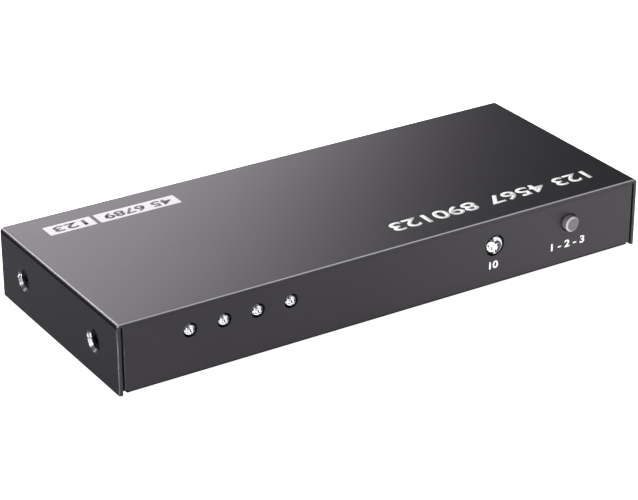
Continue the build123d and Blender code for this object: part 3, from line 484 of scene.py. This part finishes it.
def solder_mask():
    """Glossy green lacquer with copper tracks under it."""
    made, tree, where = blank("solder_mask_on_glass_epoxy")
    lay = {
        "Vector": where,
        "Scale": per_mm(TRACK_MM * 10),
        "Color1": (0.0, 0.0, 0.0, 1.0),
        "Color2": (1.0, 1.0, 1.0, 1.0),
        "Mortar": (0.5, 0.5, 0.5, 1.0),
        "Mortar Size": 0.012,
        "Brick Width": 3.2,
        "Row Height": 0.2,
    }
    tracks = add(tree, "ShaderNodeTexBrick", lay, offset=0.37).outputs["Color"]
    mask = {
        "Base Color": colour_between(tree, tracks, "#0C3B22", "#1A5A35"),
        "Roughness": 0.24,
        "IOR": 1.5,
        "Normal": relief(tree, tracks, 0.5, 0.03),
    }
    return shade(made, tree, mask)


dress(solder_mask(), "board_laminate")

# %% [markdown]
# The lamps are water-clear epoxy, and the eye in front of the receiver is clear moulded acrylic.
# In both, the highlights and reflections are painted: pale material that scatters light stands
# inside a clear skin, broken by clearer spots, and a grey tint of painted shade darkens what is
# seen through the clear parts. In a lamp the painted highlight is narrower than the body and lies
# off its middle, so a dark crescent runs along two sides of it; all four share one pattern about
# their own middle, so their spots match. In the eye the painted glint is a ring with a wide patch
# beside it and two small ones, and the middle is clear, in front of the receiver's own lens.

# %% Painted glints
GLINT_BLUR_MM = 0.06
LAMP_HIGHLIGHT_OFFSET_MM = (-0.66, 0, 0.56)
LAMP_HIGHLIGHT_MM = 1.34
LAMP_SPOT_MM, EYE_SPECK_MM = 0.42, 0.6
EYE_RING_OFFSET_MM = (-0.10, 0, 0.05)
EYE_RING_MM, EYE_RING_HALF_MM = 1.92, 0.40
# Each patch has its place to the right and upwards, its stretch in both, and its radius.
EYE_PATCHES_MM = (
    (-1.20, 0.05, 0.92, 0.80, 1.18),
    (0.55, -0.10, 1.0, 1.0, 0.22),
    (0.22, 0.95, 1.0, 1.0, 0.26),
)


def far_from(tree, where, centre, stretch=(1.0, 0.0, 1.0)):
    """The distance in mm from a centre, with each axis stretched."""
    offset = vector_node(tree, "SUBTRACT", where, centre)[0]
    spread = vector_node(tree, "MULTIPLY", offset, tuple(value / MM for value in stretch))[0]
    return vector_node(tree, "LENGTH", spread)["Value"]


def within(tree, distance, radius):
    """1 within a radius and 0 outside it, with a soft edge."""
    return ramp(tree, distance, radius + GLINT_BLUR_MM, radius - GLINT_BLUR_MM)


def lamp_painted_glints(tree, where, middle):
    """The painted highlight in a lamp: a disc off the middle, with clearer spots in it."""
    centre = middle + Vector(LAMP_HIGHLIGHT_OFFSET_MM) * MM
    painted_highlight = within(tree, far_from(tree, where, centre), LAMP_HIGHLIGHT_MM)
    local = vector_node(tree, "SUBTRACT", where, middle)[0]
    spots = noise_of(tree, local, LAMP_SPOT_MM, 1.0)
    return math_node(tree, "MULTIPLY", painted_highlight, ramp(tree, spots, 0.57, 0.50, 0.1, 1.0))


def eye_painted_glints(tree, where, middle):
    """The painted glints in the eye: a ring that is open at the left, three patches and fine
    specks.
    """
    away = far_from(tree, where, middle + Vector(EYE_RING_OFFSET_MM) * MM)
    off_ring = math_node(tree, "ABSOLUTE", math_node(tree, "SUBTRACT", away, EYE_RING_MM))
    arc = ramp(tree, axes_of(tree, where)[0], middle.x - 0.9 * MM, middle.x - 0.5 * MM)
    painted_glints = math_node(tree, "MULTIPLY", arc, within(tree, off_ring, EYE_RING_HALF_MM))
    for right, up, wide, tall, radius in EYE_PATCHES_MM:
        centre = middle + Vector((right, 0, up)) * MM
        patch = within(tree, far_from(tree, where, centre, (wide, 0.0, tall)), radius)
        painted_glints = math_node(tree, "MAXIMUM", painted_glints, patch)
    specks = noise_of(tree, where, EYE_SPECK_MM, 1.0)
    return math_node(tree, "MULTIPLY", painted_glints, ramp(tree, specks, 0.64, 0.56))


print("a lamp's painted highlight is", 2 * LAMP_HIGHLIGHT_MM, "mm across")

# %% [markdown]
# One function makes all the resins: two shades, an index of refraction and a share of painted glint
# at each point. Where there is painted glint it scatters light, and elsewhere it passes it. The
# receiver behind the eye is dyed so dark that only infrared passes, and it is equally milky all
# through.

# %% Clear and dyed resins
CLEAR_SPOT_SHADE_TINT = "#47474A"
DYED_MILKY = 0.75
FLOW_MM = 0.9


def resin(name, low, high, ior, rough=0.05, painted_glints=None, middle=None):
    """A clear body whose painted glints, from 0 to 1, scatter light instead of passing it."""
    made, tree, where = blank(name)
    flow = noise_of(tree, where, FLOW_MM, 1.5)
    colour = colour_between(tree, flow, low, high)
    clear = 1.0 - DYED_MILKY
    # Painted glints: the pale shades where the share is high, and a grey tint of painted shade
    # where it is clear.
    if painted_glints:
        glint_share = painted_glints(tree, where, middle)
        colour = colour_between(tree, glint_share, CLEAR_SPOT_SHADE_TINT, colour)
        clear = math_node(tree, "SUBTRACT", 1.0, glint_share)
    body = {
        "Base Color": colour,
        "Roughness": rough,
        "IOR": ior,
        "Transmission Weight": clear,
        "Normal": relief(tree, flow, 0.2, 0.03),
    }
    return shade(made, tree, body)


dress(resin("infrared_dyed_epoxy", "#130D14", "#1D141C", 1.55, 0.08), "dark_receiver_epoxy")

# %% [markdown]
# The white marks are screen-printed ink, about 0.02 mm thick, so their edges stand up a little
# and their surface is matt. The large plates are printed in a paler white, and the figures on
# them in a dark grey.

# %% Screen-printed ink
INK_MM = 0.02
MESH_MARKS_MM = 0.3


def screen_ink(name, low, high):
    """Matt ink with the faint marks of the mesh it was pressed through."""
    made, tree, where = blank(name)
    mesh_marks = noise_of(tree, where, MESH_MARKS_MM, 2.0)
    ink = {
        "Base Color": colour_between(tree, mesh_marks, low, high),
        "Roughness": 0.55,
        "IOR": 1.5,
        "Normal": relief(tree, mesh_marks, 0.2, 0.005),
    }
    return shade(made, tree, ink)


WHITE_INK = screen_ink("white_screen_ink", "#F4F4F4", "#FCFCFC")
PLATE_INK = screen_ink("pale_screen_ink", "#D3D2D4", "#DEDDDF")
DARK_INK = screen_ink("dark_screen_ink", "#38363A", "#403E42")
print("inks:", WHITE_INK.name, PLATE_INK.name, DARK_INK.name)

# %% [markdown]
# Each mark is made flat and in millimetres, as plain figures or as a plate with round corners,
# and then raised by the thickness of the ink. Figures are made from a font, turned into a mesh
# and stretched to the size that is wanted.

# %% Shapes of the marks


def mesh_of(name, form):
    """Turns a form into a mesh and frees the form."""
    mesh = bpy.data.meshes.new(name)
    form.to_mesh(mesh)
    form.free()
    return mesh


def put(name, data):
    """Adds a mesh or a light to the scene as an object."""
    piece = bpy.data.objects.new(name, data)
    bpy.context.scene.collection.objects.link(piece)
    return piece


def layer(mesh):
    """Gives a flat mesh the thickness of a layer of ink."""
    form = bmesh.new()
    form.from_mesh(mesh)
    bmesh.ops.remove_doubles(form, verts=form.verts, dist=0.001)
    raised = bmesh.ops.extrude_face_region(form, geom=form.faces[:])
    tops = [item for item in raised["geom"] if isinstance(item, bmesh.types.BMVert)]
    bmesh.ops.translate(form, verts=tops, vec=(0, 0, INK_MM))
    bmesh.ops.recalc_face_normals(form, faces=form.faces)
    form.to_mesh(mesh)
    form.free()
    return mesh


def figures(text, width, height, boldness):
    """Figures of a width and a height in mm, with their lower left at zero."""
    curve = bpy.data.curves.new("figures", "FONT")
    curve.body = text
    curve.offset = boldness
    holder = bpy.data.objects.new("figures", curve)
    mesh = bpy.data.meshes.new_from_object(holder)
    bpy.data.objects.remove(holder)
    bpy.data.curves.remove(curve)
    xs = [vertex.co.x for vertex in mesh.vertices]
    ys = [vertex.co.y for vertex in mesh.vertices]
    wide, tall = width / (max(xs) - min(xs)), height / (max(ys) - min(ys))
    for vertex in mesh.vertices:
        vertex.co = Vector(((vertex.co.x - min(xs)) * wide, (vertex.co.y - min(ys)) * tall, 0))
    return layer(mesh)


def plate(width, height, corner=0.35, steps=6):
    """A flat plate with round corners, in mm, with its lower left at zero."""
    right, top = width - corner, height - corner
    centres = ((right, top), (corner, top), (corner, corner), (right, corner))
    outline = []
    for quarter, (x, y) in enumerate(centres):
        for step in range(steps + 1):
            angle = math.radians(90) * (quarter + step / steps)
            outline.append((x + corner * math.cos(angle), y + corner * math.sin(angle), 0))
    form = bmesh.new()
    form.faces.new([form.verts.new(point) for point in outline])
    return layer(mesh_of("plate", form))


print("marks are", INK_MM, "mm proud of the coat")

# %% [markdown]
# The top is printed to be read from behind, where the plugs go in, so those marks are turned half
# round. The front marks stand upright on the front panel. A frame of axes for each face turns a
# flat mark onto it: the mark's x, y and z become the face's right, up and outward directions.
# Each row below gives a mark's name, its figures, where it starts and how wide it is, in mm.

# %% Marks on the case
TITLE_BASE_MM, TITLE_TALL_MM, TITLE_BOLD = -18.9, 4.8, 0.02
BADGE_BASE_MM, BADGE_TALL_MM = 25.9, 5.1
BADGE_FIGURES_TALL_MM, BADGE_MARGIN_MM = 3.1, 1.0
LABEL_LOW_MM, LABEL_TALL_MM, LABEL_BOLD = 6.4, 2.15, 0.03
TITLE = (
    ("title_first", "123", 68.2, 10.9),
    ("title_second", "4567", 53.9, 18.0),
    ("title_third", "890123", 32.2, 26.4),
)
BADGES = (("badge_long", -31.1, 23.3), ("badge_short", -55.5, 13.2))
BADGE_FIGURES = (
    ("badge_long_figures", "45 6789", -32.9, 19.4),
    ("badge_short_figures", "123", -57.5, 9.2),
)
LABELS = (("button_label", "1 - 2 - 3", 49.65, 10.95), ("eye_label", "10", 29.8, 2.8))


def on_top(right_mm, near_mm):
    """The frame of a mark on the top, read from behind: its lower left is the point given."""
    corner = Vector((right_mm * MM, near_mm * MM, COVER_HIGH.z))
    return Matrix.Translation(corner) @ Matrix.Rotation(math.radians(180), 4, "Z")


def on_front(left_mm, low_mm):
    """The frame of a mark on the front panel: its lower left is the point given."""
    corner = Vector((left_mm * MM, TRAY_LOW.y, low_mm * MM))
    return Matrix.Translation(corner) @ Matrix.Rotation(math.radians(90), 4, "X")


def printed(name, mesh, place, ink):
    """Puts a mark that was made in millimetres on a face of the case as a layer of ink."""
    mesh.transform(place @ Matrix.Scale(MM, 4))
    mesh.materials.clear()
    mesh.materials.append(ink)
    piece = put(name, mesh)
    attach(piece, "housing")


for name, text, start, wide in TITLE:
    mark = figures(text, wide, TITLE_TALL_MM, TITLE_BOLD)
    printed(name, mark, on_top(start, TITLE_BASE_MM), WHITE_INK)
for name, start, wide in BADGES:
    printed(name, plate(wide, BADGE_TALL_MM), on_top(start, BADGE_BASE_MM), PLATE_INK)
for name, text, start, wide in BADGE_FIGURES:
    mark = figures(text, wide, BADGE_FIGURES_TALL_MM, TITLE_BOLD)
    mark.transform(Matrix.Translation((0, 0, INK_MM)))
    printed(name, mark, on_top(start, BADGE_BASE_MM - BADGE_MARGIN_MM), DARK_INK)
for name, text, start, wide in LABELS:
    mark = figures(text, wide, LABEL_TALL_MM, LABEL_BOLD)
    printed(name, mark, on_front(start, LABEL_LOW_MM), WHITE_INK)
print("marks:", len(TITLE) + len(BADGES) + len(BADGE_FIGURES) + len(LABELS))

# %% [markdown]
# Round forms are turned: a profile of radii and heights sweeps about an axis. A dome is part of
# a ball, and its outline follows from its radius and its rise. A turned form that is clear has to
# be smooth, because light shows every flat in it as a crack.

# %% Turned forms


def revolved(profile, steps=48):
    """Turns a profile of radius and height in mm about the z axis into a ring of faces."""
    form = bmesh.new()
    turns = [2 * math.pi * step / steps for step in range(steps)]
    rings = []
    for radius, height in profile:
        points = [(radius * math.cos(a), radius * math.sin(a), height) for a in turns]
        rings.append([form.verts.new(point) for point in points])
    for inner, outer in zip(rings, rings[1:]):
        for step in range(steps):
            after = (step + 1) % steps
            form.faces.new((inner[step], outer[step], outer[after], inner[after]))
    bmesh.ops.remove_doubles(form, verts=form.verts, dist=0.001)
    bmesh.ops.recalc_face_normals(form, faces=form.faces)
    return form


def dome(radius, base, rise, steps=12):
    """The outline of a round cap from its rim up to the axis."""
    ball = (radius * radius + rise * rise) / (2 * rise)
    spread = math.asin(radius / ball)
    angles = [spread * (1 - step / steps) for step in range(steps + 1)]
    return [(ball * math.sin(a), base + rise - ball * (1 - math.cos(a))) for a in angles]


def facing_front(x, y, z):
    """The frame of a turned form that points out of the front panel, its base at y."""
    return Matrix.Translation((x, y, z)) @ Matrix.Rotation(math.radians(90), 4, "X")


def piece_of(form, name, place, made):
    """Makes a smooth piece with sharp corners from a form in mm, fixed in the housing."""
    mesh = mesh_of(name, form)
    mesh.transform(place @ Matrix.Scale(MM, 4))
    mesh.materials.append(made)
    mesh.shade_smooth()
    mesh.set_sharp_from_angle(angle=math.radians(35))
    piece = put(name, mesh)
    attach(piece, "housing")
    return piece


def spans(node):
    """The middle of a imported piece, its back, and its radius and length in mm."""
    low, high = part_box(node)
    return (low + high) / 2, high.y, (high.x - low.x) / 2 / MM, (high.y - low.y) / MM


print("the outline of a dome has", len(dome(1.5, 0.0, 1.0)), "points")

# %% [markdown]
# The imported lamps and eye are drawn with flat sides, which is right for a light model. Their
# bodies are turned again here from the same sizes, with smooth domes. Inside each lamp is a lead
# frame: a post that carries a bright cup with the light-giving chip in it, and a second post
# beside it.

# %% Lamps and eye
LAMPS = ("power_lamp", "input_1_lamp", "input_2_lamp", "input_3_lamp")
LAMP_DOME_MM, EYE_DOME_MM, EYE_RADIUS_MM, EYE_FLANGE_MM = 1.0, 1.3, 2.45, 0.8
CUP_INSIDE_MM = ((0.0, 0.30), (0.30, 0.30), (0.62, 0.72))
CUP_OUTSIDE_MM = ((0.74, 0.72), (0.74, 0.55), (0.45, 0.10), (0.0, 0.10))
CUP_POST_MM = ((-0.25, -0.25, -1.4), (0.25, 0.25, 0.12))
SECOND_POST_MM = ((0.80, -0.2, -1.4), (1.15, 0.2, 0.45))
CHIP_MM = ((-0.15, -0.15, 0.28), (0.15, 0.15, 0.42))
FRAME_DEPTH_MM = 2.4
FRAME_SILVER = metal(
    "silver_plated_lead_frame", "#D9DADC", "#F0F0F0", (0.10, 0.22), height_mm=0.002
)


def bar(form, low, high):
    """Adds a square bar between two corners, in mm."""
    made = bmesh.ops.create_cube(form, size=1.0)["verts"]
    bmesh.ops.scale(form, verts=made, vec=Vector(high) - Vector(low))
    bmesh.ops.translate(form, verts=made, vec=(Vector(high) + Vector(low)) / 2)


for lamp in LAMPS:
    middle, back, radius, length = spans(lamp)
    outline = [(0.0, 0.0), (radius, 0.0), *dome(radius, length - LAMP_DOME_MM, LAMP_DOME_MM)]
    name = "water_clear_epoxy_" + lamp
    clear = resin(name, "#E2E3E5", "#F2F3F4", 1.55, painted_glints=lamp_painted_glints, middle=middle)
    place = facing_front(middle.x, back, middle.z)
    body = piece_of(revolved(outline), lamp + "_body", place, clear)
    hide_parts(lamp)
    form = revolved((*CUP_INSIDE_MM, *CUP_OUTSIDE_MM), 24)
    for low, high in (CUP_POST_MM, SECOND_POST_MM, CHIP_MM):
        bar(form, low, high)
    place = facing_front(middle.x, back - FRAME_DEPTH_MM * MM, middle.z)
    piece_of(form, lamp + "_frame", place, FRAME_SILVER)

middle, back, radius, length = spans("infrared_eye")
outline = [(0.0, 0.0), (radius, 0.0), (radius, EYE_FLANGE_MM), (EYE_RADIUS_MM, EYE_FLANGE_MM)]
outline += dome(EYE_RADIUS_MM, length - EYE_DOME_MM, EYE_DOME_MM)
clear = resin("clear_moulded_acrylic", "#F2F4F6", "#FFFFFF", 1.49, painted_glints=eye_painted_glints, middle=middle)
place = facing_front(middle.x, back, middle.z)
eye = piece_of(revolved(outline), "eye_body", place, clear)
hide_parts("infrared_eye")
print("the eye is", round(length, 2), "mm long, with its back at", round(back / MM, 2), "mm")

# %% [markdown]
# Inside the switch a thin steel dome carries the stem, and it gives with a click when the button
# goes in. A stiff copy of it would stay domed and let the stem through. So it is turned anew here
# as a smooth shell. The stem travels 0.3 mm towards a dome of 0.58 mm that it stands 0.02 mm clear
# of, so half its height is left.

# %% Snap dome
SNAP_THICK_MM, SNAP_KEEP = 0.08, 0.5
SPRING_STEEL = metal("stainless_spring_sheet", "#B4B5B7", "#C6C7C9", (0.18, 0.28), ALONG_X)

middle, back, radius, length = spans("tact_switch_dome")
rise = length - SNAP_THICK_MM
shell = [*dome(radius, 0.0, rise), *reversed(dome(radius, SNAP_THICK_MM, rise)), (radius, 0.0)]
place = facing_front(middle.x, back, middle.z)
snap = piece_of(revolved(shell), "snap_dome", place, SPRING_STEEL)
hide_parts("tact_switch_dome")
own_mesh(snap)
print("snap dome rises", round(rise, 2), "mm and is", SNAP_THICK_MM, "mm thick")

# %% [markdown]
# The studio is a light table: a pale floor that glows, so the ground is white with no shadow. A
# satin box shows mostly what it mirrors, so the work is in what stands round it. The front and
# the ends mirror the ground, and a glowing floor would turn them flat grey. So the mirror rays
# pass through the floor to a card just under it, brighter in front at the right and dim at the
# left, as a black flag and a white card do on a real table.

# %% Paper and card
FLOOR_GLOW = 1.0
CARD_STEP_Y_MM = (-32.0, -34.0)


def floor_paper():
    """Matt white paper that glows evenly."""
    made, tree, where = blank("matt_white_paper")
    sheet = {
        "Base Color": colour_between(tree, noise_of(tree, where, 4.0, 3.0), "#F4F4F4", "#F8F8F8"),
        "Roughness": 0.9,
        "Emission Color": linear("#FFFFFF"),
        "Emission Strength": FLOOR_GLOW,
    }
    return shade(made, tree, sheet)


def graded_card():
    """A card that glows brightly ahead of the box, dimly behind, and not at the left."""
    made, tree, where = blank("graded_card")
    made.cycles.emission_sampling = "NONE"
    x, y, _ = axes_of(tree, where)
    across = ramp(tree, x, -30 * MM, 95 * MM, 0.62, 1.46, interpolation_type="SMOOTHSTEP")
    behind = ramp(tree, y, -30 * MM, 60 * MM, 0.02, 0.20)
    behind = math_node(tree, "MULTIPLY", behind, ramp(tree, x, -118 * MM, -104 * MM))
    step = ramp(tree, y, *(edge * MM for edge in CARD_STEP_Y_MM))
    ahead = math_node(tree, "MULTIPLY", step, ramp(tree, x, -86 * MM, -78 * MM))
    glow = number_between(tree, ahead, behind, across)
    shine = add(tree, "ShaderNodeEmission", {"Color": linear(COOL_WHITE), "Strength": glow})
    add(tree, "ShaderNodeOutputMaterial", {"Surface": shine.outputs[0]})
    return made


WHITE_PAPER, CARD = floor_paper(), graded_card()
print("floor glow", FLOOR_GLOW, "and card:", CARD.name)

# %% [markdown]
# Each of these is seen only by the rays that need it. The camera sees the floor and not the card,
# and mirror rays see the card and not the floor. A pale dome far round it all is seen by the
# camera alone, so the ground is as white from a low view.

# %% Floor, card and surround
FLOOR_HALF = 3.0
CARD_DROP_MM = 1.0
SURROUND_RADIUS = 5.0


def staged(name, form, made, height_mm=0.0):
    """Makes a thing of the studio, not of the box, from a form in metres."""
    mesh = mesh_of(name, form)
    mesh.transform(Matrix.Translation((0, 0, height_mm * MM)))
    mesh.materials.append(made)
    piece = put(name, mesh)
    return piece


def sheet_of(name, height_mm, made):
    """A flat square of the studio, at a height."""
    form = bmesh.new()
    bmesh.ops.create_grid(form, x_segments=4, y_segments=4, size=FLOOR_HALF)
    return staged(name, form, made, height_mm)


floor = sheet_of("floor", 0.0, WHITE_PAPER)
card = sheet_of("card", -CARD_DROP_MM, CARD)
ball = bmesh.new()
bmesh.ops.create_uvsphere(ball, u_segments=48, v_segments=24, radius=SURROUND_RADIUS)
surround = staged("surround", ball, WHITE_PAPER)
floor.visible_shadow = False
card.visible_camera = False
for unmirrored in (floor, surround):
    unmirrored.visible_glossy = False
for unlit in (card, surround):
    unlit.visible_diffuse = False
    unlit.visible_transmission = False
    unlit.visible_shadow = False
print("staged:", floor.name, card.name, surround.name)

# %% [markdown]
# The tilted panel behind the box gives the top its fall from bright at the left to dark at the
# right. Five more light the front edge, the left bend and the dimples. Each row gives a panel's
# name, its centre, the point that it faces and its size, all in mm, and its radiance. The floor
# casts no shadow, so a panel may also stand under it.

# %% Light panels
LEFT_END_MM = (-77, 0, 11)


def panel(name, centre_mm, aim_mm, size_mm, glow, roll=0.0, tint="#FFFFFF"):
    """A soft rectangular light of a given radiance that faces a point, rolled in its plane."""
    light = bpy.data.lights.new(name, "AREA")
    light.shape = "RECTANGLE"
    light.size, light.size_y = size_mm[0] * MM, size_mm[1] * MM
    light.energy = glow * math.pi * light.size * light.size_y
    light.color = linear(tint)[:3]
    ahead = (Vector(aim_mm) - Vector(centre_mm)).normalized()
    right = ahead.cross(Vector((0, 0, 1))).normalized()
    facing = Matrix((right, right.cross(ahead), -ahead)).transposed()
    turned = Matrix.Rotation(roll, 3, -ahead) @ facing
    lamp = put(name, light)
    lamp.matrix_world = Matrix.Translation(Vector(centre_mm) * MM) @ turned.to_4x4()
    lamp.visible_camera = False
    return lamp


panel("panel_behind", (75, 356, 126), (121, 0, -16), (645, 241), 3.5, 0.66, COOL_WHITE)
panel("panel_key", (330, -330, 550), (0, 0, 15), (300, 300), 5.0)
panel("panel_rear_left", (-225, 345, 272), (-77, 0, 20), (150, 150), 12.0)
panel("panel_left", (-416, -71, 211), LEFT_END_MM, (110, 110), 14.0)
panel("panel_left_middle", (-381, -170, 39), LEFT_END_MM, (110, 190), 7.0)
under = panel("panel_under_left", (-305, -130, -120), LEFT_END_MM, (130, 130), 6.5)
under.data.cycles.use_multiple_importance_sampling = False
print("panels:", len(bpy.data.lights))

# %% [markdown]
# A soft room fills in what no panel reaches. It glows towards the front left and above, and not
# below the level of the floor, where only the card is.

# %% Soft room
ROOM_TOWARDS = (-0.35, -0.85, 0.40)
ROOM_GLOW = (0.02, 0.6)

world = bpy.data.worlds.new("soft_room")
world.use_nodes = True
tree = world.node_tree
tree.nodes.clear()
direction = add(tree, "ShaderNodeTexCoord").outputs["Generated"]
towards = vector_node(tree, "DOT_PRODUCT", direction, ROOM_TOWARDS)["Value"]
glow = ramp(tree, towards, -0.2, 1.0, *ROOM_GLOW)
above = ramp(tree, axes_of(tree, direction)[2], -0.02, 0.02)
upper = math_node(tree, "MULTIPLY", glow, above)
room = add(tree, "ShaderNodeBackground", {"Color": linear("#FFFFFF"), "Strength": upper})
add(tree, "ShaderNodeOutputWorld", {"Surface": room.outputs[0]})
bpy.context.scene.world = world
bpy.context.scene.view_settings.view_transform = "Standard"
print("room glow from", ROOM_GLOW[0], "to", ROOM_GLOW[1])
